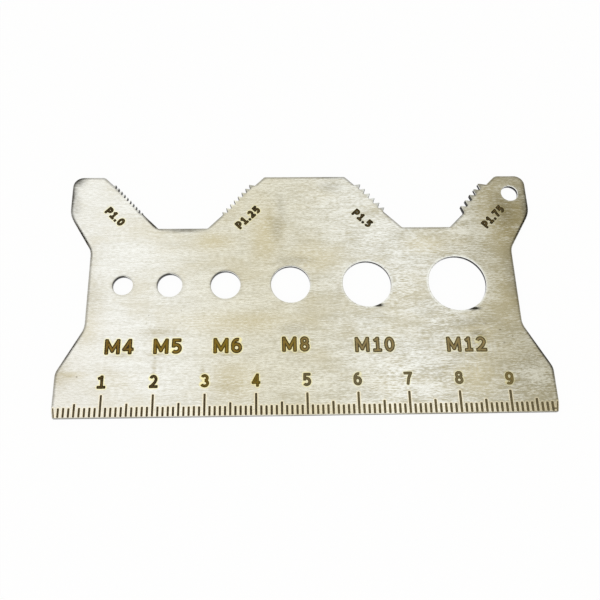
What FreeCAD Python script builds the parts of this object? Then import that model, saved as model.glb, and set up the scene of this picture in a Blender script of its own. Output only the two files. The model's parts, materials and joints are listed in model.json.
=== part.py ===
import FreeCAD, Part
import math
import os

# A flat thread gauge of sheet steel, in millimetres.
# X runs along the ruler edge, Y away from it, and Z out of the marked face.
# The plate lies on its back at Z 0, with the origin under the middle of its box.

# Sheet.
plate_width = 98.7
plate_height = 52.5
plate_thickness = 1.0
rim_break = 0.12

# Sides, alike on the left and on the right.
waist_inset = 5.0
base_side_height = 8.9
base_flare_height = 9.2
horn_side_height = 9.15
horn_flare_height = 8.35
base_corner_inset = 0.35
base_corner_height = 1.6
base_corner_radius = 6.0
base_shoulder_radius = 3.0
waist_lower_radius = 4.0
waist_upper_radius = 3.5
horn_side_radius = 5.5
horn_corner_radius = 2.2

# Top edge: two horns, a tongue between them, and a flat-bottomed valley on each side of the tongue.
left_horn_top = 6.75
right_horn_top = 6.4
tongue_left = 7.97
tongue_right = 9.61
valley_depth = 12.4
flank_angle = 45.0
horn_crest_radius = 1.2
tongue_crest_radius = 0.5
valley_foot_radius = 0.4

# Gauging teeth: the sixty degree profile of the metric screw thread.
tooth_angle = 60.0
crest_flat_per_pitch = 1 / 8
root_flat_per_pitch = 1 / 6
first_tooth_drop = 1.95

# Each rack has a pitch, a number of teeth, and how far its first crest stands beside the flank's top corner.
# It leans steeper than its flank, and the flank below it is set back.
racks = {
    "pitch_1_00": {"pitch": 1.0, "teeth": 10, "first_tooth_run": 2.55, "lean": 3.0, "set_back": 0.24},
    "pitch_1_25": {"pitch": 1.25, "teeth": 8, "first_tooth_run": 3.3, "lean": 4.2, "set_back": 0.16},
    "pitch_1_50": {"pitch": 1.5, "teeth": 6, "first_tooth_run": 3.35, "lean": 4.4, "set_back": 0.4},
    "pitch_1_75": {"pitch": 1.75, "teeth": 5, "first_tooth_run": 3.95, "lean": 6.4, "set_back": 0.86},
}

# Round gauging holes: the bolt size that each one takes, and its centre from the plate's middle.
bolt_clearance = 0.15
hole_row_height = 27.2
gauge_holes = [
    (4.0, -37.25),
    (5.0, -27.64),
    (6.0, -16.18),
    (8.0, -2.75),
    (10.0, 13.1),
    (12.0, 32.0),
]

# Hanging hole in the right horn.
hanging_hole_radius = 1.85
hanging_hole_from_side = 3.63
hanging_hole_from_top = 4.3

# How far the cutters of the holes run past each face, and the largest gap between points that count as one.
cutter_overrun = 1.0
same_point = 0.01

half_width = plate_width / 2


def along(angle):
    """Unit vector at an angle in degrees, measured from +X."""
    return FreeCAD.Vector(math.cos(math.radians(angle)), math.sin(math.radians(angle)), 0)


def meet(point, direction, other_point, other_direction):
    """Where two lines in the plate's plane cross."""
    cross = direction.x * other_direction.y - direction.y * other_direction.x
    gap = other_point - point
    reach = (gap.x * other_direction.y - gap.y * other_direction.x) / cross
    return point + direction * reach


def rack_outline(pitch, teeth, first_tooth_run, lean, set_back):
    """Corners of one toothed flank that falls to the right from (0, 0), down to its foot."""
    flank = along(-flank_angle)
    row = along(-flank_angle - lean)
    outward = FreeCAD.Vector(-row.y, row.x, 0)
    crest = pitch * crest_flat_per_pitch
    root = pitch * root_flat_per_pitch
    side_run = (pitch - crest - root) / 2
    depth = side_run / math.tan(math.radians(tooth_angle / 2))
    upper_side = outward * depth + row * side_run
    lower_side = outward * depth - row * side_run
    lower_flank_start = FreeCAD.Vector(-set_back / math.sin(math.radians(flank_angle)), 0, 0)
    centre = FreeCAD.Vector(first_tooth_run, -first_tooth_drop, 0)
    corners = [meet(centre - row * (crest / 2), upper_side, FreeCAD.Vector(), flank)]
    for tooth in range(teeth):
        before = centre - row * (crest / 2)
        after = centre + row * (crest / 2)
        if tooth > 0:
            corners.append(before - upper_side)
        corners.append(before)
        corners.append(after)
        if tooth < teeth - 1:
            corners.append(after - lower_side)
        centre = centre + row * pitch
    corners.append(meet(after, lower_side, lower_flank_start, flank))
    foot = meet(lower_flank_start, flank, FreeCAD.Vector(0, -valley_depth, 0), FreeCAD.Vector(1, 0, 0))
    return corners, foot


def falling_flank(corner_x, crest_radius, rack):
    """Corners and radii of a toothed flank, from its top corner down to the valley floor."""
    corners, foot = rack_outline(**rack)
    corner = FreeCAD.Vector(corner_x, plate_height, 0)
    outline = [(corner, crest_radius)]
    outline += [(corner + point, 0) for point in corners]
    outline.append((corner + foot, valley_foot_radius))
    return outline


def rising_flank(corner_x, crest_radius, rack):
    """The mirror image of a falling flank, from the valley floor up to its top corner."""
    mirrored = falling_flank(-corner_x, crest_radius, rack)
    return [(FreeCAD.Vector(-point.x, point.y, 0), radius) for point, radius in reversed(mirrored)]


def side_outline():
    """Corners and radii of the right-hand side, from the ruler edge up to the horn's corner."""
    horn_bottom = plate_height - horn_side_height
    waist_top = horn_bottom - horn_flare_height
    waist_bottom = base_side_height + base_flare_height
    waist = half_width - waist_inset
    return [
        (FreeCAD.Vector(half_width - base_corner_inset, 0, 0), 0),
        (FreeCAD.Vector(half_width, base_corner_height, 0), base_corner_radius),
        (FreeCAD.Vector(half_width, base_side_height, 0), base_shoulder_radius),
        (FreeCAD.Vector(waist, waist_bottom, 0), waist_lower_radius),
        (FreeCAD.Vector(waist, waist_top, 0), waist_upper_radius),
        (FreeCAD.Vector(half_width, horn_bottom, 0), horn_side_radius),
        (FreeCAD.Vector(half_width, plate_height, 0), horn_corner_radius),
    ]


def plate_outline():
    """Every corner of the plate with its radius, anticlockwise from the right end of the ruler edge."""
    right = side_outline()
    left = [(FreeCAD.Vector(-point.x, point.y, 0), radius) for point, radius in reversed(right)]
    left_valley = falling_flank(-half_width + left_horn_top, horn_crest_radius, racks["pitch_1_00"])
    left_valley += rising_flank(-tongue_left, tongue_crest_radius, racks["pitch_1_25"])
    right_valley = falling_flank(tongue_right, tongue_crest_radius, racks["pitch_1_50"])
    right_valley += rising_flank(half_width - right_horn_top, horn_crest_radius, racks["pitch_1_75"])
    top = left_valley + right_valley
    return right + list(reversed(top)) + left


def rounded_wire(outline):
    """Closed wire through the corners, with a tangent arc at each corner that has a radius."""
    starts = []
    ends = []
    arcs = []
    for index, (corner, radius) in enumerate(outline):
        before = (outline[index - 1][0] - corner).normalize()
        after = (outline[(index + 1) % len(outline)][0] - corner).normalize()
        if radius == 0:
            starts.append(corner)
            ends.append(corner)
            arcs.append(None)
            continue
        half_turn = before.getAngle(after) / 2
        reach = radius / math.tan(half_turn)
        centre = corner + (before + after).normalize() * (radius / math.sin(half_turn))
        middle = centre + (corner - centre).normalize() * radius
        starts.append(corner + before * reach)
        ends.append(corner + after * reach)
        arcs.append(Part.Arc(starts[-1], middle, ends[-1]).toShape())
    edges = []
    for index, arc in enumerate(arcs):
        if arc is not None:
            edges.append(arc)
        edges.append(Part.LineSegment(ends[index], starts[(index + 1) % len(starts)]).toShape())
    return Part.Wire(edges)


def break_rims(plate, outline):
    """Chamfers the rims of both faces, apart from the edges of the teeth, which stay crisp."""
    crisp = [point for point, radius in outline if radius == 0 and point.y > 0]
    chosen = []
    for edge in plate.Edges:
        if max(vertex.Z for vertex in edge.Vertexes) - min(vertex.Z for vertex in edge.Vertexes) > 0:
            continue
        touching = sum(
            min(math.hypot(vertex.X - point.x, vertex.Y - point.y) for point in crisp) < same_point
            for vertex in edge.Vertexes
        )
        if touching < 2:
            chosen.append(edge)
    return plate.makeChamfer(rim_break, chosen)


def bore(radius, x, y):
    """A cutter for a round hole right through the plate."""
    start = FreeCAD.Vector(x, y, -cutter_overrun)
    return Part.makeCylinder(radius, plate_thickness + 2 * cutter_overrun, start)


def gauge_plate():
    """The whole gauge: one piece of sheet with teeth, broken rims and holes."""
    outline = plate_outline()
    plate = Part.Face(rounded_wire(outline)).extrude(FreeCAD.Vector(0, 0, plate_thickness))
    plate = break_rims(plate, outline)
    for size, x in gauge_holes:
        plate = plate.cut(bore((size + bolt_clearance) / 2, x, hole_row_height))
    hanging_x = half_width - hanging_hole_from_side
    hanging_y = plate_height - hanging_hole_from_top
    plate = plate.cut(bore(hanging_hole_radius, hanging_x, hanging_y))
    plate.translate(FreeCAD.Vector(0, -plate_height / 2, 0))
    return plate


os.makedirs("parts", exist_ok=True)
gauge_plate().exportStep("parts/gauge_plate.step")
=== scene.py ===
import json
import math
import random

import bpy
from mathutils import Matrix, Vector
from mathutils.geometry import delaunay_2d_cdt

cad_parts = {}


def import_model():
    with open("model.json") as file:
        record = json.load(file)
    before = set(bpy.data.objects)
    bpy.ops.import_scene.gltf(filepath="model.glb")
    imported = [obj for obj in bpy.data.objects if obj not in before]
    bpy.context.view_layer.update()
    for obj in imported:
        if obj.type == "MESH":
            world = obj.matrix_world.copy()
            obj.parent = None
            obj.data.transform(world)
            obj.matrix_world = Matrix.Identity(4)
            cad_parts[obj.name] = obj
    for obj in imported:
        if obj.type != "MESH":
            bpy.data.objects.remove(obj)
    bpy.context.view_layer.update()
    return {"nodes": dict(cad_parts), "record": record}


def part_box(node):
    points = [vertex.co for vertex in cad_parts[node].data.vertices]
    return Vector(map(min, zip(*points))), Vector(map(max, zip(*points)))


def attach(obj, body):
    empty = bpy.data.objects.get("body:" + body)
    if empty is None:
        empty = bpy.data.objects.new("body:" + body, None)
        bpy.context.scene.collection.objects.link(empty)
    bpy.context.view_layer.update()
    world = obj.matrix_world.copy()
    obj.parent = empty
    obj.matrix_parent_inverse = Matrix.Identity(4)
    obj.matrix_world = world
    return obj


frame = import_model()

# The plate. Lengths are in millimetres, apart from the frame's and those that are times MM, which are
# in metres. Marks and spots are placed in ruler millimetres: along X from the ruler's zero, and along Y
# from its edge.
MM = 0.001
PLATE = "gauge_plate"
RULER_ZERO = -50.0
plate_low, plate_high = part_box(PLATE)
FACE = plate_high.z
RULER_EDGE = plate_low.y / MM
EDGE_BREAK = 0.12
CORNER_INSET = 0.35
CORNER_HEIGHT = 1.6
RIM_ROUNDING = 0.08 * MM
ROUNDING_STEPS = 2
SHARP_RIM_ANGLE = 70
SAME_POINT = 0.001 * MM

# Camera, fitted to the photograph. The image is square.
CAMERA_PLACE = (-8.57 * MM, -55.14 * MM, 142.41 * MM)
CAMERA_TURN = (21.936, -1.475, -1.123)
CAMERA_LENS = 44.206
CAMERA_SENSOR = 36.0
CAMERA_SHIFT = (0.0242, -0.0325)
CAMERA_NEAR = 0.001

# Marks burnt into the face, in millimetres: how high each layer stands, and how far its borders reach.
HALO_HEIGHT = 0.004
MARK_HEIGHT = 0.009
MARK_SINK = 0.02
HALO_REACH = 0.35
CORE_INSET = 0.23
SLIMMEST_CORE = 0.04

# Strokes: their corners are rounded by a share of the pen's half width. A stroke with more points than the
# longest straight one is a curve. Arcs have a point every few degrees, and the mitre limit is a cosine.
PEN_CORNER = 0.6
CURVE_PEN_CORNER = 0.35
LONGEST_STRAIGHT_STROKE = 3
ARC_STEP = 15.0
CAP_STEPS = 3
SHARPEST_MITRE = 0.35

# Flat meshes, in millimetres: corners this close are one, smaller triangles are left out, and a point
# is measured only to signs this near. The triangle's limit is twice its area.
SAME_CORNER = 1e-5
SMALLEST_TRIANGLE = 1e-6
NEARBY = 1

# Size marks under the holes: the text, the height of its foot, and each sign's left and right side.
SIZE_HEIGHT = 3.25
SIZE_PEN = 0.82
SIZE_MARKS = [
    ("M4", 12.5, [(10.0, 13.1), (13.5, 15.8)]),
    ("M5", 12.5, [(19.6, 22.7), (23.1, 25.35)]),
    ("M6", 12.5, [(31.5, 34.6), (35.0, 37.3)]),
    ("M8", 12.65, [(45.2, 48.2), (48.7, 50.8)]),
    ("M10", 12.4, [(59.8, 62.8), (63.4, 65.3), (65.7, 67.9)]),
    ("M12", 12.25, [(78.3, 81.3), (81.9, 83.7), (84.2, 86.5)]),
]

# Pitch marks along the flanks: the text, its middle, and its slope in degrees.
PITCH_HEIGHT = 1.95
PITCH_PEN = 0.6
PITCH_GAP = 0.16
PITCH_WIDTHS = {"P": 1.35, "0": 1.45, "1": 1.2, "2": 1.3, "5": 1.3, "7": 1.35, ".": 0.6}
PITCH_MARKS = [
    ("P1.0", (10.2, 43.0), -45),
    ("P1.25", (38.4, 42.65), 45),
    ("P1.5", (63.0, 42.3), -45),
    ("P1.75", (91.35, 42.5), 45),
]

# Ruler: its numbers, and the tops of the short, middle and long lines.
NUMBER_HEIGHT = 2.7
NUMBER_WIDTH = 1.75
NUMBER_PEN = 0.62
NUMBER_FOOT = 5.65
NUMBER_COUNT = 9
NUMBER_SHIFTS = {1: (-0.12, 0.0), 8: (0.12, 0.0), 9: (0.15, -0.25)}
LINE_COUNT = 99
LINE_TOP = 2.0
FIVE_TOP = 2.75
TEN_TOP = 4.45
FIRST_LINE_PEN = 0.42
LAST_LINE_PEN = 0.52
END_LINE_PEN = 0.26
END_LINE_LEAN = 0.24
LINE_UNEVENNESS = 0.06

random.seed(7)


# Pen strokes of the signs.
def arc(x, y, radius_x, radius_y, start, end):
    """Points of an elliptical arc, from one angle in degrees to another."""
    count = max(2, round(abs(end - start) / ARC_STEP))
    angles = [math.radians(start + (end - start) * step / count) for step in range(count + 1)]
    return [(x + radius_x * math.cos(angle), y + radius_y * math.sin(angle)) for angle in angles]


def ring(x, y, radius_x, radius_y):
    """A closed ring, as two arcs whose ends overlap."""
    return [arc(x, y, radius_x, radius_y, 0, 185), arc(x, y, radius_x, radius_y, 180, 365)]


# Each sign is a few strokes in a box one wide and one high.
SIGNS = {
    "M": [[(0, 0), (0, 1)], [(1, 0), (1, 1)], [(0.03, 0.96), (0.5, 0.16)], [(0.97, 0.96), (0.5, 0.16)]],
    "P": [
        [(0, 0), (0, 1)],
        [(0, 1), (0.5, 1)] + arc(0.55, 0.71, 0.45, 0.29, 80, -80) + [(0.5, 0.42), (0, 0.42)],
    ],
    "0": ring(0.5, 0.5, 0.5, 0.5),
    "1": [[(0, 0), (1, 0)], [(0.56, 0), (0.56, 1)], [(0.12, 0.86), (0.56, 0.97)]],
    "2": [arc(0.46, 0.7, 0.46, 0.3, 165, -25) + [(0.7, 0.38), (0.04, 0)], [(0, 0), (1, 0)]],
    "3": [arc(0.44, 0.76, 0.46, 0.24, 160, -90), arc(0.44, 0.26, 0.54, 0.26, 90, -160)],
    "4": [[(0.75, 1), (0.75, 0)], [(0.69, 0.98), (0, 0.28)], [(0, 0.27), (1, 0.27)]],
    "5": [[(0.9, 1), (0.14, 1)], [(0.14, 1), (0.1, 0.53)], arc(0.42, 0.31, 0.56, 0.31, 125, -140)],
    "6": ring(0.5, 0.31, 0.5, 0.31) + [arc(0.62, 0.5, 0.62, 0.5, 70, 190)],
    "7": [[(0, 1), (1, 1)], [(0.97, 0.95), (0.62, 0.55), (0.42, 0)]],
    "8": ring(0.5, 0.77, 0.42, 0.23) + ring(0.5, 0.27, 0.5, 0.27),
    "9": ring(0.5, 0.69, 0.5, 0.31) + [arc(0.38, 0.5, 0.62, 0.5, -125, 10)],
    ".": [[(0.5, 0), (0.5, 0.01)]],
}


def sign_strokes(sign, left, foot, width, height, pen):
    """A sign's strokes in a box of a given size, as lists of points with the pen's half width."""
    half = pen / 2
    return [
        ([(left + half + u * (width - pen), foot + half + v * (height - pen)) for u, v in points], half)
        for points in SIGNS[sign]
    ]


def turned(strokes, middle, slope):
    """Strokes drawn about (0, 0), turned by a slope in degrees and moved to their middle."""
    cosine = math.cos(math.radians(slope))
    sine = math.sin(math.radians(slope))
    return [
        ([(middle[0] + x * cosine - y * sine, middle[1] + x * sine + y * cosine) for x, y in points], half)
        for points, half in strokes
    ]


def size_mark_strokes():
    """Strokes of the size marks, one list for each sign."""
    signs = []
    for text, foot, sides in SIZE_MARKS:
        for sign, (left, right) in zip(text, sides):
            signs.append(sign_strokes(sign, left, foot, right - left, SIZE_HEIGHT, SIZE_PEN))
    return signs


def pitch_mark_strokes():
    """Strokes of the pitch marks, one list for each sign."""
    signs = []
    for text, middle, slope in PITCH_MARKS:
        length = sum(PITCH_WIDTHS[sign] for sign in text) + PITCH_GAP * (len(text) - 1)
        left = -length / 2
        for sign in text:
            width = PITCH_WIDTHS[sign]
            strokes = sign_strokes(sign, left, -PITCH_HEIGHT / 2, width, PITCH_HEIGHT, PITCH_PEN)
            signs.append(turned(strokes, middle, slope))
            left += width + PITCH_GAP
    return signs


def number_strokes():
    """Strokes of the ruler's numbers."""
    signs = []
    for number in range(1, NUMBER_COUNT + 1):
        shift_x, shift_y = NUMBER_SHIFTS.get(number, (0.0, 0.0))
        left = 10 * number - NUMBER_WIDTH / 2 + shift_x
        foot = NUMBER_FOOT + shift_y
        signs.append(sign_strokes(str(number), left, foot, NUMBER_WIDTH, NUMBER_HEIGHT, NUMBER_PEN))
    return signs


def line_strokes():
    """Strokes of the ruler's lines. The first and the last lean with the plate's corners, and a smear joins
    the last two."""
    signs = []
    for line in range(1, LINE_COUNT + 1):
        top = TEN_TOP if line % 10 == 0 else FIVE_TOP if line % 5 == 0 else LINE_TOP
        top += random.uniform(-LINE_UNEVENNESS, LINE_UNEVENNESS)
        half = (FIRST_LINE_PEN + (LAST_LINE_PEN - FIRST_LINE_PEN) * line / LINE_COUNT) / 2
        lean = 0.0
        if line in (1, LINE_COUNT):
            half = END_LINE_PEN / 2
            lean = END_LINE_LEAN if line == 1 else -END_LINE_LEAN
        signs.append([([(line + lean, EDGE_BREAK + half), (line, top - half)], half)])
    smear_y = EDGE_BREAK + LAST_LINE_PEN
    signs[-1].append(([(LINE_COUNT - 1, smear_y), (LINE_COUNT - END_LINE_LEAN, smear_y)], END_LINE_PEN / 2))
    return signs


# Flat meshes from strokes.
def ribbon(points, half):
    """Outline of a stroke, anticlockwise. A straight one has square ends with rounded corners."""
    last = len(points) - 1
    straight = last < LONGEST_STRAIGHT_STROKE
    flat = half if straight else 0.0
    corner = (PEN_CORNER if straight else CURVE_PEN_CORNER) * half
    left = []
    right = []
    for index, (x, y) in enumerate(points):
        before = points[max(index - 1, 0)]
        after = points[min(index + 1, last)]
        arriving = math.atan2(y - before[1], x - before[0]) if index else None
        leaving = math.atan2(after[1] - y, after[0] - x) if index < last else arriving
        arriving = leaving if arriving is None else arriving
        turn = math.remainder(leaving - arriving, math.tau) / 2
        reach = half / max(math.cos(turn), SHARPEST_MITRE)
        across = (-reach * math.sin(arriving + turn), reach * math.cos(arriving + turn))
        left.append((x + across[0], y + across[1]))
        right.append((x - across[0], y - across[1]))
        if index == 0:
            start = stroke_end((x, y), arriving + math.pi, half, flat, corner)
        if index == last:
            end = stroke_end((x, y), arriving, half, flat, corner)
    return right[1:-1] + end + left[-2:0:-1] + start


def stroke_end(point, heading, half, flat, corner):
    """Points round the end of a stroke, from its right side to its left."""
    found = []
    for side in (-1, 1):
        for step in range(CAP_STEPS + 1):
            angle = math.radians(90 * (side - 1) / 2 + 90 * step / CAP_STEPS)
            along = flat - corner + corner * math.cos(angle)
            across = side * (half - corner) + corner * math.sin(angle)
            found.append((
                point[0] + along * math.cos(heading) - across * math.sin(heading),
                point[1] + along * math.sin(heading) + across * math.cos(heading),
            ))
    return found


def capsule(start, end, half):
    """Outline of one straight piece of a stroke with round ends, anticlockwise."""
    heading = math.atan2(end[1] - start[1], end[0] - start[0])
    found = []
    for centre, first in ((end, -90), (start, 90)):
        for step in range(CAP_STEPS * 2 + 1):
            angle = heading + math.radians(first + 90 * step / CAP_STEPS)
            found.append((centre[0] + half * math.cos(angle), centre[1] + half * math.sin(angle)))
    return found


def face_sides():
    """The face's straight sides by the ruler: a point on each, and the direction into the face."""
    left = plate_low.x / MM - RULER_ZERO
    right = plate_high.x / MM - RULER_ZERO
    lean = math.atan2(CORNER_INSET, CORNER_HEIGHT)
    return [
        ((0.0, 0.0), (0.0, 1.0)),
        ((left, 0.0), (1.0, 0.0)),
        ((left, CORNER_HEIGHT), (math.cos(lean), math.sin(lean))),
        ((right, 0.0), (-1.0, 0.0)),
        ((right, CORNER_HEIGHT), (-math.cos(lean), math.sin(lean))),
    ]


def within_face(outline):
    """The part of an outline that lies on the face, inside its broken rims."""
    for (x, y), inward in face_sides():
        depths = [(point[0] - x) * inward[0] + (point[1] - y) * inward[1] - EDGE_BREAK for point in outline]
        kept = []
        for index, (point, depth) in enumerate(zip(outline, depths)):
            before, depth_before = outline[index - 1], depths[index - 1]
            if (depth_before < 0) != (depth < 0):
                share = depth_before / (depth_before - depth)
                kept.append(tuple(start + share * (end - start) for start, end in zip(before, point)))
            if depth >= 0:
                kept.append(point)
        outline = kept
    return outline


def beyond_pen(point, strokes):
    """How far a point lies outside the nearest stroke's border. It is negative inside."""
    nearest = math.inf
    for points, half in strokes:
        for start, end in zip(points, points[1:]):
            run = (end[0] - start[0], end[1] - start[1])
            away = (point[0] - start[0], point[1] - start[1])
            share = (away[0] * run[0] + away[1] * run[1]) / (run[0] ** 2 + run[1] ** 2)
            share = min(max(share, 0.0), 1.0)
            gap = math.hypot(away[0] - share * run[0], away[1] - share * run[1])
            nearest = min(nearest, gap - half)
    return nearest


def merged(outlines):
    """Triangles that cover overlapping outlines once, each with the outlines that it lies in."""
    corners = []
    faces = []
    for outline in outlines:
        faces.append(list(range(len(corners), len(corners) + len(outline))))
        corners += [Vector(point) for point in outline]
    points, _, triangles, _, _, owners = delaunay_2d_cdt(corners, [], faces, 1, SAME_CORNER, True)
    kept = []
    for triangle, owner in zip(triangles, owners):
        if owner and wide(triangle, points):
            kept.append((triangle, owner))
    used = sorted({corner for triangle, _ in kept for corner in triangle})
    place = {corner: index for index, corner in enumerate(used)}
    placed = [([place[corner] for corner in triangle], owner) for triangle, owner in kept]
    return [points[corner] for corner in used], placed


def wide(triangle, points):
    """Whether a triangle is anticlockwise and more than a sliver."""
    a, b, c = [points[corner] for corner in triangle]
    return (b - a).cross(c - a) > SMALLEST_TRIANGLE


class FlatMesh:
    """Collects flat triangles in ruler millimetres and makes one thin piece of them."""

    def __init__(self, height):
        self.height = height
        self.places = []
        self.faces = []
        self.materials = []
        self.values = []

    def point(self, x, y, value=0.0):
        """Adds a point, with a value for the material."""
        self.places.append(((x + RULER_ZERO) * MM, (y + RULER_EDGE) * MM, FACE + self.height * MM))
        self.values.append(value)

    def face(self, corners, material=0):
        """Adds a triangle, with the number of its material."""
        self.faces.append(corners)
        self.materials.append(material)

    def piece(self, name, materials, value_name=None):
        """Makes the piece, which is a little thicker than it stands proud of the plate's face."""
        mesh = bpy.data.meshes.new(name)
        mesh.from_pydata(self.places, [], self.faces)
        for material in materials:
            mesh.materials.append(material)
        mesh.polygons.foreach_set("material_index", self.materials)
        if value_name:
            attribute = mesh.attributes.new(value_name, "FLOAT", "POINT")
            attribute.data.foreach_set("value", self.values)
        made = bpy.data.objects.new(name, mesh)
        bpy.context.scene.collection.objects.link(made)
        thickness = made.modifiers.new("thickness", "SOLIDIFY")
        thickness.thickness = (self.height + MARK_SINK) * MM
        thickness.offset = -1.0
        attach(made, "root")
        return made


def mark_piece(name, signs, materials):
    """One piece of burnt signs, with a dark border and a lighter core."""
    flat = FlatMesh(MARK_HEIGHT)
    strokes = [stroke for sign in signs for stroke in sign]
    outlines = [within_face(ribbon(points, half)) for points, half in strokes]
    slimmest = CORE_INSET + SLIMMEST_CORE
    cores = [ribbon(points, half - CORE_INSET) for points, half in strokes if half > slimmest]
    points, triangles = merged(outlines + cores)
    for point in points:
        flat.point(point.x, point.y)
    for triangle, owners in triangles:
        core = any(owner >= len(outlines) for owner in owners)
        flat.face(list(triangle), int(core))
    return flat.piece(name, materials)


def halo_piece(name, signs, material):
    """The pale tint round the signs, with each point's distance from the burnt border."""
    flat = FlatMesh(HALO_HEIGHT)
    outlines = []
    spans = []
    for sign in signs:
        across = [x for points, _ in sign for x, _ in points]
        spans.append((min(across) - NEARBY, max(across) + NEARBY, sign))
        for points, half in sign:
            curved = len(points) > LONGEST_STRAIGHT_STROKE
            thinned = points[::2] if curved and len(points) % 2 else points
            outlines += [capsule(a, b, half + HALO_REACH) for a, b in zip(thinned, thinned[1:])]
            outlines += [capsule(a, b, half) for a, b in zip(thinned, thinned[1:])]
    points, triangles = merged([within_face(outline) for outline in outlines])
    for point in points:
        close = [stroke for low, high, sign in spans if low < point.x < high for stroke in sign]
        flat.point(point.x, point.y, beyond_pen(point, close))
    for triangle, _ in triangles:
        flat.face(list(triangle))
    return flat.piece(name, [material], "beyond_pen")


# Shader nodes.
def node(tree, kind, inputs=(), **settings):
    """A shader node with its settings, and with inputs that are values or other nodes' sockets."""
    made = tree.nodes.new(kind)
    for name, value in settings.items():
        setattr(made, name, value)
    for name, value in dict(inputs).items():
        if isinstance(value, bpy.types.NodeSocket):
            tree.links.new(value, made.inputs[name])
        else:
            made.inputs[name].default_value = value
    return made


def maths(tree, operation, first, second=0.0):
    """One step of arithmetic on numbers."""
    return node(tree, "ShaderNodeMath", {0: first, 1: second}, operation=operation).outputs[0]


def weighted(tree, shares):
    """The sum of values, each times its weight."""
    total = 0.0
    for value, weight in shares:
        inputs = {0: value, 1: weight, 2: total}
        total = node(tree, "ShaderNodeMath", inputs, operation="MULTIPLY_ADD").outputs[0]
    return total


def along(tree, vector, axis):
    """A vector's X, Y or Z."""
    return node(tree, "ShaderNodeSeparateXYZ", {0: vector}).outputs[axis]


def facing(tree, axis):
    """How much the surface faces along an axis."""
    return along(tree, node(tree, "ShaderNodeNewGeometry").outputs["Normal"], axis)


def stretch(tree, place, factors):
    """A place whose axes are multiplied, to stretch a pattern along them."""
    return node(tree, "ShaderNodeVectorMath", {0: place, 1: factors}, operation="MULTIPLY").outputs[0]


def fade(tree, value, start, end):
    """A smooth step from 0 at start to 1 at end."""
    inputs = {"Value": value, "From Min": start, "From Max": end}
    return node(tree, "ShaderNodeMapRange", inputs, interpolation_type="SMOOTHSTEP").outputs["Result"]


def blend(tree, share, first, second, how="MIX"):
    """The second colour over the first, by a share."""
    settings = {"data_type": "RGBA", "blend_type": how}
    return node(tree, "ShaderNodeMix", {0: share, 6: first, 7: second}, **settings).outputs[2]


def noise(tree, place, factors, detail=3.0, rough=0.55):
    """Fractal noise, with its own frequency along each axis, per millimetre."""
    inputs = {"Vector": stretch(tree, place, factors), "Scale": 1.0, "Detail": detail, "Roughness": rough}
    return node(tree, "ShaderNodeTexNoise", inputs).outputs[0]


def distance_from(tree, place, centre, radii=(1.0, 1.0)):
    """How far a place is from a centre in ruler millimetres, counted in radii along X and Y."""
    factors = (1 / radii[0], 1 / radii[1], 0.0)
    shift = (-(centre[0] + RULER_ZERO) / radii[0], -(centre[1] + RULER_EDGE) / radii[1], 0.0)
    inputs = {0: place, 1: factors, 2: shift}
    scaled = node(tree, "ShaderNodeVectorMath", inputs, operation="MULTIPLY_ADD").outputs[0]
    return node(tree, "ShaderNodeVectorMath", {0: scaled}, operation="LENGTH").outputs["Value"]


def spot(tree, place, centre, radii, strength):
    """The strength in the middle of an oval spot, fading to 0 at its two radii."""
    distance = distance_from(tree, place, centre, radii)
    inputs = {"Value": distance, "From Min": 1.0, "From Max": 0.0, "To Max": strength}
    return node(tree, "ShaderNodeMapRange", inputs, interpolation_type="SMOOTHSTEP").outputs["Result"]


def covered(tree, place, spots):
    """The strength of the strongest of several spots."""
    cover = 0.0
    for centre, radii, strength in spots:
        cover = maths(tree, "MAXIMUM", spot(tree, place, centre, radii, strength), cover)
    return cover


def linear(red, green, blue):
    """A linear colour from the numbers that a picture shows for it, from 0 to 255."""
    return tuple((channel / 255) ** 2.2 for channel in (red, green, blue)) + (1.0,)


def new_material(name):
    """An empty node material, with its tree."""
    material = bpy.data.materials.new(name)
    material.use_nodes = True
    material.node_tree.nodes.clear()
    return material, material.node_tree


def finish_material(tree, shader):
    """Links a shader node to the material's output."""
    output = node(tree, "ShaderNodeOutputMaterial")
    tree.links.new(shader.outputs[0], output.inputs["Surface"])


def millimetres(tree):
    """The place on the object, in millimetres."""
    place = node(tree, "ShaderNodeTexCoord").outputs["Object"]
    return stretch(tree, place, (1 / MM, 1 / MM, 1 / MM))


# Brushed steel.
PALE_STEEL = linear(244, 243, 238)
SHADED_STEEL = linear(190, 185, 168)
STRAW_STEEL = linear(208, 196, 160)
TARNISHED_STEEL = linear(158, 144, 98)
# Painted highlight and reflection, on the teeth, round the larger holes and on the upper cut walls.
PAINTED_HIGHLIGHT = linear(255, 255, 250)
# Painted shade, on the rims and in soft bands inside them.
RIM_SHADE = linear(40, 38, 32)
# Painted shadow, on the lower cut walls, the tooth walls and the smaller holes' upper left rims.
PAINTED_SHADOW = linear(18, 16, 13)
PIT = linear(92, 80, 54)
# Soot, and painted shade along parts of the rims.
SOOT_AND_SHADE = linear(58, 56, 50)

# Noise patterns of the grain, by how often they repeat along X, Y and Z, per millimetre.
PATCHES = (0.07, 0.13, 0.1)
BROAD = (0.05, 0.6, 0.4)
STREAKS = (0.25, 2.9, 1.6)
HAIRS = (1.2, 4.6, 4.0)
CLOUDS = (0.2, 0.45, 0.4)
SCRATCHES = (0.35, 7.5, 3.0)
CROSSINGS = (3.0, 0.25, 1.0)
WANDERING = (0.07, 0.09, 0.05)
LONGEST_WANDER = 1.2

# How dark the fibres are: the shares of two patterns, a constant, and finer patterns that swing about 0.
# Each pair is a strength at the plate's left and what its right adds.
PATCH_SHARE = 0.14
BROAD_SHARE = 0.12
FIBRE_LEVEL = 0.37
HAIR_SWING = (0.47, 0.16)
STREAK_SWING = (0.18, 0.1)
CLOUD_SWING = (0.02, 0.3)
CONTRAST = (0.55, 0.4)
SCRATCHED = (0.08, 0.5)
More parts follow.
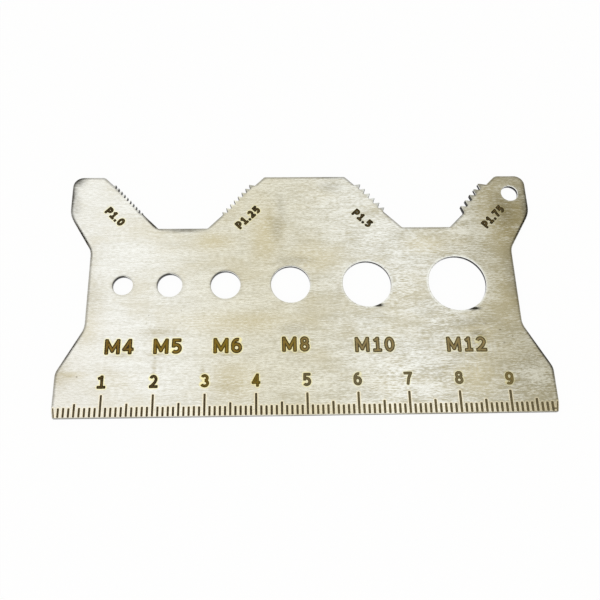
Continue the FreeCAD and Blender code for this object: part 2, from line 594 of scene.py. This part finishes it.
# Painted shade: how far the steel is darkened towards its right, where its reflection is dimmer.
RIGHT_SHADE = 0.2
STRAW_SHARE = 0.25
CROSSING_SHARE = 0.4
LEFT_END = -42.0
RIGHT_END = 42.0

# Between which two values of a pattern, a depth or a direction each effect comes in.
FIBRES_SHADE = (0.36, 0.64)
PATCHES_TINT = (0.45, 0.7)
SCRATCHES_SHOW = (0.42, 0.34)
CROSSINGS_SHOW = (0.5, 0.62)
PITS_SHOW = (0.25, 0.5)
RINGS_SHOW = (0.65, 0.5)
BANDS_SHOW = (0.3, 0.5)
FACES_UP = (0.5, 0.9)
IS_WALL = (0.6, 0.2)
IS_TOOTH = (0.75, 0.45)
IS_TICK = (0.2, 0.4)
IS_BAND = (1.0, 0.6)
IS_LINE = (0.83, 0.71)

# How the surface shines.
STREAK_ROUGHNESS = 0.12
LEAST_ROUGHNESS = 0.18
ANISOTROPY = 0.85
STREAK_BUMP = 0.6
HAIR_BUMP = 0.4
STEEL_BUMP = 0.35
MARK_BUMP = 0.4
BUMP_DEPTH = 0.01 * MM

# The sheet's rims, teeth and cut walls. Depths are found by rays as long as the rim's width.
RIM_WIDTH = 0.9 * MM
RIM_RAYS = 8
# How far the teeth are painted bright as a highlight.
TOOTH_HIGHLIGHT = 0.8
# Strength of the painted shade line on plain rims.
PLAIN_LINE = 0.48
# How soft the top of the walls' painted shadow is, in millimetres.
SHADOW_BLUR = 0.08

# All spots have their middle in ruler millimetres, their two radii and their strength.
# The racks of teeth come first.
RACKS = [
    ((12.0, 46.0), (9.0, 9.0), 2.5),
    ((35.5, 46.0), (9.0, 9.0), 2.5),
    ((62.5, 46.0), (9.0, 9.0), 2.5),
    ((83.0, 46.5), (8.5, 8.5), 2.5),
]

# Where the painted line of shade on the rims is stronger, and where there is less of it or none.
STRONG_RIMS = [
    ((3.5, 38.0), (6.0, 8.5), 0.9),
    ((3.5, 13.5), (6.5, 8.0), 0.6),
    ((98.0, 41.0), (7.0, 12.0), 0.7),
    ((97.5, 13.0), (6.5, 9.0), 0.7),
    ((18.0, 41.0), (4.0, 3.0), 0.6),
]
CRISP_RIMS = [
    ((12.0, 46.0), (5.0, 5.0), 1.0),
    ((35.5, 46.0), (5.5, 5.5), 1.0),
    ((62.5, 46.0), (5.5, 5.5), 1.0),
    ((83.0, 46.5), (5.5, 5.5), 1.0),
    ((50.0, 0.0), (48.0, 3.0), 0.9),
]

# The holes, with their middle in ruler millimetres and their radius. Their rims are crisp too.
HOLES = {}
for mount in frame["record"]["mounts"]:
    if mount["kind"] == "bore":
        x, y = mount["pos_m"][:2]
        HOLES[mount["name"]] = ((x / MM - RULER_ZERO, y / MM - RULER_EDGE), mount["dims"]["r_mm"])
for middle, radius in HOLES.values():
    reach = 3 * radius + 1
    CRISP_RIMS.append((middle, (reach, reach), 1.0))

# How dark the painted shadow is on the smaller holes' upper left rims, and how bright a narrow ring of
# painted highlight is round the larger holes. Each pair is how far beyond the rim a ring starts to fade
# and where it ends.
SHADOW_RING = (0.08, 0.26)
SHADOWED_HOLES = {"hole_m4": 0.45, "hole_m5": 0.55, "hole_m6": 0.5, "hole_m8": 0.4}
HIGHLIGHT_RING = (0.2, 0.55)
HIGHLIGHT_HOLES = {"hole_m8": 0.3, "hole_m10": 0.6, "hole_m12": 0.9, "hanging_hole": 0.5}

# How high up the cut walls are painted dark as shadow, in millimetres from the back: at least, and near
# some places. Above it they are painted bright as a reflection.
LEAST_DARK_WALL = 0.78
DARK_WALLS = RACKS + [
    ((50.0, 0.0), (150.0, 6.0), 1.4),
    ((11.0, 28.5), (5.0, 5.0), 1.6),
    ((20.5, 28.5), (5.0, 5.0), 1.6),
    ((32.0, 28.5), (6.0, 6.0), 1.2),
]

# Where a soft band of painted shade runs inside the rim.
SHADED_BANDS = [
    ((0.5, 52.5), (5.0, 4.0), 1.0),
    ((0.0, 47.0), (3.0, 7.0), 1.0),
    ((0.5, 42.0), (2.5, 4.0), 0.6),
    ((99.5, 46.0), (3.0, 8.0), 0.9),
    ((98.5, 12.0), (4.0, 8.0), 0.8),
    ((95.0, 28.0), (2.5, 12.0), 0.5),
    ((18.5, 41.5), (3.0, 3.0), 0.6),
    ((56.0, 52.6), (4.0, 2.5), 0.5),
]

# Small pits, sooty smudges and brown tarnish on the face. The smudges along the rims are painted shade.
PITS = [
    ((5.0, 8.05), (0.35, 0.22), 0.9),
    ((20.1, 11.7), (0.4, 0.25), 0.55),
    ((16.6, 14.0), (0.2, 0.2), 0.5),
    ((18.4, 20.6), (0.18, 0.25), 0.6),
    ((19.6, 18.1), (0.22, 0.2), 0.5),
    ((20.6, 17.6), (0.2, 0.16), 0.55),
    ((18.0, 19.0), (0.15, 0.15), 0.5),
    ((24.9, 21.6), (0.18, 0.3), 0.6),
    ((24.8, 18.9), (0.15, 0.2), 0.4),
    ((89.6, 16.8), (0.4, 0.3), 0.75),
    ((92.0, 15.4), (0.22, 0.2), 0.65),
    ((90.1, 14.1), (0.4, 0.35), 0.65),
    ((96.3, 10.7), (0.2, 0.2), 0.7),
    ((86.6, 18.2), (0.9, 0.25), 0.4),
    ((87.7, 17.2), (0.7, 0.2), 0.4),
]
SMUDGES_AND_SHADE = [
    ((65.2, 22.4), (1.7, 0.6), 1.4),
    ((84.7, 21.5), (2.2, 0.65), 1.6),
    ((0.8, 51.9), (3.6, 2.8), 1.1),
    ((0.5, 48.0), (2.0, 6.0), 0.8),
    ((1.4, 45.5), (2.2, 5.0), 0.3),
    ((25.0, 39.6), (6.5, 0.9), 0.55),
    ((19.0, 41.5), (1.6, 1.6), 0.35),
    ((98.8, 43.0), (1.6, 9.0), 0.5),
    ((93.5, 44.0), (4.0, 7.0), 0.35),
    ((98.0, 29.0), (7.0, 14.0), 0.75),
    ((97.0, 18.5), (3.5, 4.5), 0.8),
    ((100.5, 13.0), (3.0, 5.0), 0.7),
    ((4.6, 25.0), (2.0, 14.0), 0.25),
    ((0.4, 5.0), (1.0, 7.0), 0.3),
    ((45.5, 45.0), (2.0, 6.0), 0.15),
    ((49.0, 32.5), (6.0, 1.6), 0.25),
    ((84.5, 18.5), (7.0, 2.0), 0.25),
    ((47.0, 17.5), (5.0, 2.2), 0.2),
    ((44.5, 40.0), (2.0, 5.0), 0.2),
    ((56.5, 50.0), (4.0, 2.2), 0.2),
    ((85.0, 16.0), (2.5, 2.0), 0.35),
]
TARNISH = [
    # On the right horn the tarnish is partly a painted reflection.
    ((95.0, 41.0), (7.0, 13.0), 0.55),
    ((91.0, 46.0), (4.0, 6.0), 0.35),
    ((97.0, 23.0), (4.5, 10.0), 0.45),
    ((5.0, 33.0), (3.5, 5.0), 0.35),
    ((59.0, 17.5), (2.5, 3.5), 0.3),
    ((81.0, 6.0), (3.0, 3.5), 0.25),
    ((34.5, 5.5), (6.0, 4.0), 0.3),
    ((77.5, 8.5), (1.5, 3.5), 0.3),
    ((45.0, 39.0), (2.5, 6.0), 0.25),
    ((0.5, 9.0), (4.5, 6.0), 0.45),
    ((3.0, 8.2), (3.0, 0.5), 0.5),
    ((5.0, 29.0), (3.0, 6.0), 0.3),
    ((20.5, 12.6), (3.2, 1.3), 0.5),
    ((13.0, 12.4), (3.0, 0.9), 0.4),
    ((34.3, 12.4), (3.2, 0.9), 0.45),
    ((48.2, 12.6), (3.0, 0.9), 0.4),
    ((29.5, 8.0), (0.8, 4.5), 0.4),
    ((20.0, 9.0), (0.8, 5.0), 0.4),
    ((43.0, 42.0), (1.6, 5.0), 0.35),
    ((6.0, 24.5), (4.5, 7.0), 0.3),
    ((20.0, 17.0), (7.0, 1.6), 0.45),
    ((85.0, 14.5), (3.5, 3.0), 0.5),
]

# Where faint scratches run across the grain.
CROSS_SCRATCHED = [
    ((84.0, 11.0), (8.0, 11.0), 0.8),
]

# Straw-coloured stains, and places that are paler.
STAINS = [
    # On the right horn the straw tone is partly a painted reflection.
    ((93.0, 42.0), (7.5, 14.0), 0.7),
    ((92.0, 24.0), (7.0, 16.0), 0.35),
    ((42.0, 39.0), (5.0, 11.0), 0.6),
    ((86.0, 17.5), (7.0, 4.0), 0.5),
    ((31.0, 37.0), (7.0, 3.5), 0.6),
    ((52.0, 33.0), (9.0, 5.0), 0.5),
    ((76.0, 36.0), (7.0, 3.5), 0.6),
    ((37.0, 19.0), (22.0, 4.0), 0.5),
    ((4.0, 8.5), (4.5, 1.2), 0.45),
    ((36.0, 7.0), (8.0, 6.0), 0.5),
    ((84.0, 7.0), (6.0, 7.0), 0.4),
    ((6.0, 18.0), (5.0, 6.0), 0.4),
]
PALE_PATCHES = [
    ((68.0, 7.0), (11.0, 12.0), 0.9),
    ((70.0, 26.0), (5.0, 9.0), 0.75),
    ((66.0, 40.0), (6.0, 5.0), 0.6),
    ((82.0, 22.0), (9.0, 9.0), 0.45),
    ((14.0, 7.0), (10.0, 5.0), 0.7),
    ((17.0, 34.0), (8.0, 7.0), 0.6),
    ((37.5, 42.0), (4.0, 5.0), 0.6),
    ((83.0, 42.0), (4.5, 6.5), 1.2),
    ((51.0, 7.0), (9.0, 4.0), 0.6),
    ((53.0, 47.0), (12.0, 5.0), 0.5),
    ((43.0, 47.5), (8.0, 5.0), 0.6),
    ((12.0, 42.0), (6.0, 6.0), 0.5),
    ((32.0, 27.0), (8.0, 6.0), 0.4),
    ((96.0, 6.5), (7.0, 6.5), 1.3),
    ((89.0, 26.0), (4.5, 5.0), 0.6),
    ((76.0, 6.0), (9.0, 7.0), 0.7),
    ((77.0, 18.5), (4.0, 2.5), 0.8),
]

# The layers of spots in their order, each with the values of the fibres between which it comes in,
# and its colour.
LAYERS = [
    (PALE_PATCHES, (0.6, 0.35), PALE_STEEL),
    (STAINS, (0.3, 0.55), STRAW_STEEL),
    (TARNISH, (0.25, 0.6), TARNISHED_STEEL),
    (SMUDGES_AND_SHADE, (0.15, 0.6), SOOT_AND_SHADE),
]


def brushed_place(tree, place):
    """The place with its Y wandering, so that long streaks aren't dead straight."""
    wander = maths(tree, "SUBTRACT", noise(tree, place, WANDERING, 2.0), 0.5)
    wander = maths(tree, "MULTIPLY", wander, LONGEST_WANDER)
    shift = node(tree, "ShaderNodeCombineXYZ", {1: wander}).outputs[0]
    return node(tree, "ShaderNodeVectorMath", {0: place, 1: shift}, operation="ADD").outputs[0]


def how_far_right(tree, place):
    """A share that grows from 0 at the plate's left to 1 at its right."""
    inputs = {"Value": along(tree, place, "X"), "From Min": LEFT_END, "From Max": RIGHT_END}
    return node(tree, "ShaderNodeMapRange", inputs).outputs[0]


def growing(tree, rightward, ends):
    """A strength with its value at the plate's left and what its right adds."""
    least, added = ends
    return weighted(tree, [(rightward, added), (1.0, least)])


def swinging(tree, pattern, rightward, ends):
    """A pattern about 0, whose strength grows towards the right."""
    return maths(tree, "MULTIPLY", maths(tree, "SUBTRACT", pattern, 0.5), growing(tree, rightward, ends))


def depth_in_sheet(tree):
    """About 0.5 on a rim, rising to 1 where the sheet's edge is further than the rim's width."""
    settings = {"inside": True, "only_local": True, "samples": RIM_RAYS}
    return node(tree, "ShaderNodeAmbientOcclusion", {"Distance": RIM_WIDTH}, **settings).outputs["AO"]


def ring_round(tree, place, hole, ends, strength):
    """A share that is strongest on a hole's rim and fades between two distances beyond it."""
    start, end = ends
    middle, radius = HOLES[hole]
    distance = distance_from(tree, place, middle)
    return maths(tree, "MULTIPLY", fade(tree, distance, radius + end, radius + start), strength)


def ringed(tree, place, base, grit):
    """The colour with painted highlight rings round the larger holes, and painted shadow on the smaller
    ones' upper left rims.
    """
    for hole, strength in HIGHLIGHT_HOLES.items():
        # Rings of painted highlight round the larger holes.
        bright = ring_round(tree, place, hole, HIGHLIGHT_RING, strength)
        base = blend(tree, maths(tree, "MULTIPLY", bright, grit), base, PAINTED_HIGHLIGHT)
    for hole, strength in SHADOWED_HOLES.items():
        # Painted shadow on the smaller holes' upper left rims.
        (x, y), radius = HOLES[hole]
        upper_left = spot(tree, place, (x - radius / 2, y + radius), (2 * radius, 2 * radius), 2.0)
        dark = ring_round(tree, place, hole, SHADOW_RING, strength)
        dark = maths(tree, "MULTIPLY", dark, maths(tree, "MINIMUM", upper_left, 1.0))
        base = blend(tree, dark, base, PAINTED_SHADOW)
    return base


def shaded_rims(tree, place, base, fibres):
    """The colour with painted highlights on the teeth, and painted shade on tooth walls, rims and bands
    inside some.
    """
    depth = depth_in_sheet(tree)
    racks = covered(tree, place, RACKS)
    # The teeth are painted bright as a highlight.
    teeth = maths(tree, "MINIMUM", racks, TOOTH_HIGHLIGHT)
    teeth = maths(tree, "MULTIPLY", fade(tree, depth, *IS_TOOTH), teeth)
    base = blend(tree, teeth, base, PAINTED_HIGHLIGHT)
    # The tooth walls that face sideways are painted dark as shade.
    sideways = maths(tree, "ABSOLUTE", facing(tree, "X"))
    ticks = maths(tree, "MULTIPLY", fade(tree, sideways, *IS_TICK), maths(tree, "MINIMUM", racks, 1.0))
    base = blend(tree, ticks, base, PAINTED_SHADOW)
    # A soft band of painted shade inside some rims.
    band = maths(tree, "MULTIPLY", fade(tree, depth, *IS_BAND), covered(tree, place, SHADED_BANDS))
    band = maths(tree, "MULTIPLY", band, fade(tree, fibres, *BANDS_SHOW))
    base = blend(tree, band, base, RIM_SHADE)
    # A dark line of painted shade along the rims, weaker where they are crisp.
    strength = weighted(tree, [(covered(tree, place, STRONG_RIMS), 1.0), (1.0, PLAIN_LINE)])
    line = maths(tree, "SUBTRACT", 1.0, covered(tree, place, CRISP_RIMS))
    line = maths(tree, "MULTIPLY", line, strength)
    return blend(tree, maths(tree, "MULTIPLY", fade(tree, depth, *IS_LINE), line), base, RIM_SHADE)


def cut_wall(tree, place):
    """The colour of the cut walls: painted shadow below, up to a height that differs by place, and a painted
    reflection above.
    """
    # The walls are painted with shadow up to this height and with a reflection above it.
    shadow_top = maths(tree, "MAXIMUM", covered(tree, place, DARK_WALLS), LEAST_DARK_WALL)
    above = maths(tree, "SUBTRACT", along(tree, place, "Z"), shadow_top)
    return blend(tree, fade(tree, above, -SHADOW_BLUR, SHADOW_BLUR), PAINTED_SHADOW, PAINTED_HIGHLIGHT)


def steel_grain(tree, grained, rightward):
    """The patterns of the grain that other layers need, and how dark the fibres are."""
    patches = noise(tree, grained, PATCHES, 4.0, 0.6)
    broad = noise(tree, grained, BROAD)
    streak = noise(tree, grained, STREAKS, 2.0)
    hair = noise(tree, grained, HAIRS, 2.5)
    clouds = noise(tree, grained, CLOUDS, 2.0)
    fibres = weighted(tree, [
        (patches, PATCH_SHARE),
        (broad, BROAD_SHARE),
        (1.0, FIBRE_LEVEL),
        (swinging(tree, hair, rightward, HAIR_SWING), 1.0),
        (swinging(tree, streak, rightward, STREAK_SWING), 1.0),
        (swinging(tree, clouds, rightward, CLOUD_SWING), 1.0),
    ])
    return patches, streak, hair, fibres


def brushed_colour(tree, grained, rightward, patches, fibres):
    """The plain steel: pale with shaded fibres, straw-coloured patches, fine brown scratches along X and
    painted shade towards the right.
    """
    shade = maths(tree, "MULTIPLY", fade(tree, fibres, *FIBRES_SHADE), growing(tree, rightward, CONTRAST))
    # Painted shade, darker towards the right.
    shade = weighted(tree, [(rightward, RIGHT_SHADE), (shade, 1.0)])
    base = blend(tree, shade, PALE_STEEL, SHADED_STEEL)
    straw = maths(tree, "MULTIPLY", fade(tree, patches, *PATCHES_TINT), STRAW_SHARE)
    base = blend(tree, straw, base, STRAW_STEEL)
    scratches = fade(tree, noise(tree, grained, SCRATCHES, 1.0), *SCRATCHES_SHOW)
    scratches = maths(tree, "MULTIPLY", scratches, growing(tree, rightward, SCRATCHED))
    return blend(tree, scratches, base, TARNISHED_STEEL)


def cross_scratched(tree, place, base):
    """The colour with faint scratches across the grain."""
    crossing = fade(tree, noise(tree, place, CROSSINGS, 1.0), *CROSSINGS_SHOW)
    crossing = maths(tree, "MULTIPLY", crossing, covered(tree, place, CROSS_SCRATCHED))
    return blend(tree, maths(tree, "MULTIPLY", crossing, CROSSING_SHARE), base, STRAW_STEEL)


def steel_shader(tree, whole_sheet=True):
    """Brushed steel, grained along X, with spots. The whole sheet also has pits, and painted light and shade
    at its holes, rims, teeth and walls.
    """
    place = millimetres(tree)
    grained = brushed_place(tree, place)
    rightward = how_far_right(tree, place)
    patches, streak, hair, fibres = steel_grain(tree, grained, rightward)
    base = brushed_colour(tree, grained, rightward, patches, fibres)
    base = cross_scratched(tree, place, base)
    upright = facing(tree, "Z")
    front = fade(tree, upright, *FACES_UP)
    layers = [(spots, fade(tree, fibres, *ends), tone) for spots, ends, tone in LAYERS]
    if whole_sheet:
        layers.append((PITS, fade(tree, hair, *PITS_SHOW), PIT))
        base = ringed(tree, place, base, fade(tree, fibres, *RINGS_SHOW))
    for spots, grit, tone in layers:
        texture = maths(tree, "MULTIPLY", grit, front)
        base = blend(tree, maths(tree, "MULTIPLY", covered(tree, place, spots), texture), base, tone)
    if whole_sheet:
        base = shaded_rims(tree, place, base, fibres)
        wall = fade(tree, maths(tree, "ABSOLUTE", upright), *IS_WALL)
        base = blend(tree, wall, base, cut_wall(tree, place))
    rough = weighted(tree, [(streak, STREAK_ROUGHNESS), (1.0, LEAST_ROUGHNESS)])
    height = weighted(tree, [(streak, STREAK_BUMP), (hair, HAIR_BUMP)])
    bump = node(tree, "ShaderNodeBump", {"Height": height, "Strength": STEEL_BUMP, "Distance": BUMP_DEPTH})
    tangent = node(tree, "ShaderNodeCombineXYZ", {1: 1.0}).outputs[0]
    inputs = {
        "Base Color": base,
        "Metallic": 1.0,
        "Roughness": rough,
        "Anisotropic": ANISOTROPY,
        "Tangent": tangent,
        "Normal": bump.outputs[0],
    }
    return node(tree, "ShaderNodeBsdfPrincipled", inputs)


def steel_material():
    """The plate's steel, with its painted light and shade."""
    material, tree = new_material("brushed_steel")
    finish_material(tree, steel_shader(tree))
    return material


# Burnt marks and the tint round them. Each group of marks has tones for its border and its core:
# two colours that mix, how worn the right-hand marks are, and how golden some are.
WORN_BURN = linear(156, 146, 112)
GOLDEN_BURN = linear(134, 112, 22)
GOLDEN_MARKS = [
    ((22.0, 14.0), (5.0, 4.0), 0.8),
    ((33.5, 14.0), (5.0, 4.0), 1.2),
    ((47.5, 14.0), (4.0, 4.0), 0.9),
    ((30.0, 7.0), (3.0, 3.0), 0.9),
    ((40.0, 7.0), (3.0, 3.0), 1.2),
    ((90.0, 7.0), (3.0, 3.0), 0.7),
]
MARK_TONES = {
    "ruler_lines": (
        (linear(58, 50, 32), linear(92, 80, 54), 0.2, 0.0),
        (linear(84, 68, 26), linear(134, 110, 50), 0.2, 0.0),
    ),
    "ruler_numbers": (
        (linear(38, 31, 14), linear(68, 56, 30), 0.3, 0.35),
        (linear(68, 54, 22), linear(104, 86, 38), 0.4, 0.5),
    ),
    "size_marks": (
        (linear(40, 33, 13), linear(74, 58, 26), 0.15, 0.2),
        (linear(96, 74, 24), linear(142, 114, 46), 0.5, 0.65),
    ),
    "pitch_marks": (
        (linear(28, 24, 11), linear(58, 47, 24), 0.0, 0.0),
        (linear(66, 54, 24), linear(108, 90, 46), 0.0, 0.0),
    ),
}

# How the burnt colours mix: two noise patterns, by how often they repeat per millimetre, and their shares.
# The marks are more worn towards the right, between two places from the plate's middle in millimetres.
BURN_MOTTLE = (1.1, 1.1, 1.0)
BURN_SPECKS = (5.0, 9.0, 5.0)
MOTTLE_SHARE = 0.7
SPECK_SHARE = 0.3
BURN_MIX = (0.38, 0.62)
WORN_FROM = (-12.0, 8.0)
BURN_ROUGHNESS = 0.6
BURN_SPECULAR = 0.2

# The tint round the ruler's lines and round the other marks, and its strength, which is less round the signs
# on the right and round the pitch marks. Places are counted from the plate's middle in millimetres.
LINE_TINT = linear(255, 243, 214)
SIGN_TINT = linear(255, 245, 184)
TINT_STRENGTH = 0.8
RIGHT_SIGNS_LOSE = 0.4
PITCH_MARKS_LOSE = 0.25
RIGHT_SIGNS_FROM = (-10.0, 15.0)
PITCH_MARKS_FROM = (5.0, 12.0)


def halo_material():
    """The same steel with a pale tint that fades from the burnt border, pinker round the ruler's lines."""
    material, tree = new_material("tinted_steel")
    shader = steel_shader(tree, whole_sheet=False)
    place = millimetres(tree)
    height = along(tree, place, "Y")
    signs = fade(tree, height, TEN_TOP + RULER_EDGE, NUMBER_FOOT + RULER_EDGE)
    pitches = fade(tree, height, *PITCH_MARKS_FROM)
    right_signs = maths(tree, "MULTIPLY", signs, fade(tree, along(tree, place, "X"), *RIGHT_SIGNS_FROM))
    losses = [(right_signs, -RIGHT_SIGNS_LOSE), (pitches, -PITCH_MARKS_LOSE)]
    strength = weighted(tree, losses + [(1.0, TINT_STRENGTH)])
    distance = node(tree, "ShaderNodeAttribute", attribute_name="beyond_pen").outputs["Fac"]
    share = maths(tree, "MULTIPLY", fade(tree, distance, HALO_REACH, 0.0), strength)
    socket = shader.inputs["Base Color"]
    plain = socket.links[0].from_socket
    tree.links.new(blend(tree, share, plain, blend(tree, signs, LINE_TINT, SIGN_TINT)), socket)
    finish_material(tree, shader)
    return material


def burnt_material(name, dark, light, worn, golden):
    """A burnt mark, mottled between two colours, more worn towards the right and golden in places."""
    material, tree = new_material(name)
    place = millimetres(tree)
    mottled = noise(tree, place, BURN_MOTTLE, 3.0, 0.7)
    specks = noise(tree, place, BURN_SPECKS, 2.0)
    mix = weighted(tree, [(mottled, MOTTLE_SHARE), (specks, SPECK_SHARE)])
    base = blend(tree, fade(tree, mix, *BURN_MIX), dark, light)
    wear = maths(tree, "MULTIPLY", fade(tree, along(tree, place, "X"), *WORN_FROM), worn)
    base = blend(tree, wear, base, WORN_BURN)
    gold = maths(tree, "MULTIPLY", covered(tree, place, GOLDEN_MARKS), golden)
    base = blend(tree, gold, base, GOLDEN_BURN)
    bump = node(tree, "ShaderNodeBump", {"Height": specks, "Strength": MARK_BUMP, "Distance": BUMP_DEPTH})
    inputs = {
        "Base Color": base,
        "Roughness": BURN_ROUGHNESS,
        "Specular IOR Level": BURN_SPECULAR,
        "Normal": bump.outputs[0],
    }
    finish_material(tree, node(tree, "ShaderNodeBsdfPrincipled", inputs))
    return material


def finish_plate(material):
    """Gives the plate its finish, and its sharp rims a small rounding."""
    plate = frame["nodes"][PLATE]
    for slot in plate.material_slots:
        slot.material = material
    joined = plate.modifiers.new("joined", "WELD")
    joined.merge_threshold = SAME_POINT
    rounded = plate.modifiers.new("rounded_rims", "BEVEL")
    rounded.width = RIM_ROUNDING
    rounded.segments = ROUNDING_STEPS
    rounded.limit_method = "ANGLE"
    rounded.angle_limit = math.radians(SHARP_RIM_ANGLE)
    rounded.use_clamp_overlap = False
    normals = plate.modifiers.new("even_shading", "WEIGHTED_NORMAL")
    normals.keep_sharp = True


# Stage. Places and sizes are in metres.
WHITE = (1, 1, 1, 1)
FLOOR_SIDE = 3.0
FLOOR_DROP = 0.02 * MM
FLOOR_GLOW = 0.96
FLOOR_TONES = ((0.86, 0.86, 0.86, 1), (0.9, 0.9, 0.9, 1))
FLOOR_PATCHES = (0.01, 0.01, 0.01)
SOFTBOX_PLACE = (-0.35, -0.35, 0.45)
SOFTBOX_SIDE = 0.3
SOFTBOX_POWER = 0.5


def floor():
    """A white floor that keeps the plate's shadow."""
    half = FLOOR_SIDE / 2
    mesh = bpy.data.meshes.new("floor")
    corners = [(-half, -half), (half, -half), (half, half), (-half, half)]
    mesh.from_pydata([(x, y, -FLOOR_DROP) for x, y in corners], [], [(0, 1, 2, 3)])
    made = bpy.data.objects.new("floor", mesh)
    bpy.context.scene.collection.objects.link(made)
    material, tree = new_material("white_floor")
    place = millimetres(tree)
    tone = blend(tree, noise(tree, place, FLOOR_PATCHES), *FLOOR_TONES)
    matt = node(tree, "ShaderNodeBsdfDiffuse", {"Color": tone})
    lit = node(tree, "ShaderNodeEmission", {"Color": WHITE, "Strength": 1.0})
    rays = node(tree, "ShaderNodeLightPath")
    seen = maths(tree, "MAXIMUM", rays.outputs["Is Camera Ray"], rays.outputs["Is Glossy Ray"])
    seen = maths(tree, "MAXIMUM", seen, rays.outputs["Is Transmission Ray"])
    share = maths(tree, "MULTIPLY", seen, FLOOR_GLOW)
    mixed = node(tree, "ShaderNodeMixShader", {0: share, 1: matt.outputs[0], 2: lit.outputs[0]})
    finish_material(tree, mixed)
    mesh.materials.append(material)


# Light of the studio by how far its direction leans to the right, from -1 to 1. The plate mirrors it
# as soft bands, which slant a little.
SKY_TILT = 0.19
SKY_STRENGTH = 1.0
SKY_BANDS = [
    (-0.4, (0.88, 0.86, 0.79)),
    (-0.24, (0.97, 0.95, 0.9)),
    (-0.13, (1.11, 1.13, 1.14)),
    (-0.06, (1.13, 1.15, 1.16)),
    (0.0, (0.96, 0.94, 0.82)),
    (0.08, (0.9, 0.87, 0.72)),
    (0.15, (0.97, 0.96, 0.86)),
    (0.21, (1.15, 1.18, 1.2)),
    (0.28, (1.15, 1.18, 1.2)),
    (0.33, (1.01, 1.0, 0.92)),
    (0.38, (0.68, 0.66, 0.54)),
    (0.43, (0.47, 0.44, 0.33)),
    (0.6, (0.47, 0.44, 0.33)),
]


def world():
    """Studio light in soft upright bands, dimmer at the right. The camera sees a white backdrop instead."""
    made = bpy.data.worlds.new("studio")
    bpy.context.scene.world = made
    made.use_nodes = True
    tree = made.node_tree
    tree.nodes.clear()
    direction = node(tree, "ShaderNodeTexCoord").outputs["Generated"]
    tilted = {0: direction, 1: (1.0, SKY_TILT, 0.0)}
    lean = node(tree, "ShaderNodeVectorMath", tilted, operation="DOT_PRODUCT").outputs["Value"]
    inputs = {"Value": lean, "From Min": -1.0, "From Max": 1.0}
    share = node(tree, "ShaderNodeMapRange", inputs).outputs["Result"]
    ramp = node(tree, "ShaderNodeValToRGB", {0: share})
    bands = ramp.color_ramp
    bands.interpolation = "EASE"
    while len(bands.elements) < len(SKY_BANDS):
        bands.elements.new(0.5)
    for element, (place, tone) in zip(bands.elements, SKY_BANDS):
        element.position = (place + 1) / 2
        element.color = (*tone, 1.0)
    sky = node(tree, "ShaderNodeBackground", {"Color": ramp.outputs[0], "Strength": SKY_STRENGTH})
    backdrop = node(tree, "ShaderNodeBackground", {"Color": WHITE, "Strength": 1.0})
    seen = node(tree, "ShaderNodeLightPath").outputs["Is Camera Ray"]
    mixed = node(tree, "ShaderNodeMixShader", {0: seen, 1: sky.outputs[0], 2: backdrop.outputs[0]})
    output = node(tree, "ShaderNodeOutputWorld")
    tree.links.new(mixed.outputs[0], output.inputs[0])


def softbox():
    """A square soft lamp, aimed at the plate's middle."""
    light = bpy.data.lights.new("softbox", "AREA")
    light.size = SOFTBOX_SIDE
    light.energy = SOFTBOX_POWER
    made = bpy.data.objects.new("softbox", light)
    made.location = SOFTBOX_PLACE
    made.rotation_euler = (-Vector(SOFTBOX_PLACE)).to_track_quat("-Z", "Y").to_euler()
    bpy.context.scene.collection.objects.link(made)


def camera():
    """The photograph's camera."""
    data = bpy.data.cameras.new("camera")
    data.lens = CAMERA_LENS
    data.sensor_width = CAMERA_SENSOR
    data.shift_x, data.shift_y = CAMERA_SHIFT
    data.clip_start = CAMERA_NEAR
    made = bpy.data.objects.new("camera", data)
    made.location = CAMERA_PLACE
    made.rotation_euler = [math.radians(turn) for turn in CAMERA_TURN]
    bpy.context.scene.collection.objects.link(made)
    bpy.context.scene.camera = made


tinted = halo_material()
finish_plate(steel_material())
groups = {
    "ruler_lines": line_strokes(),
    "ruler_numbers": number_strokes(),
    "size_marks": size_mark_strokes(),
    "pitch_marks": pitch_mark_strokes(),
}
for group, signs in groups.items():
    border, core = MARK_TONES[group]
    burns = [burnt_material(group + "_border", *border), burnt_material(group + "_core", *core)]
    mark_piece(group, signs, burns)
    halo_piece(group + "_halo", signs, tinted)
floor()
world()
softbox()
camera()

bpy.context.scene.view_settings.view_transform = "Standard"
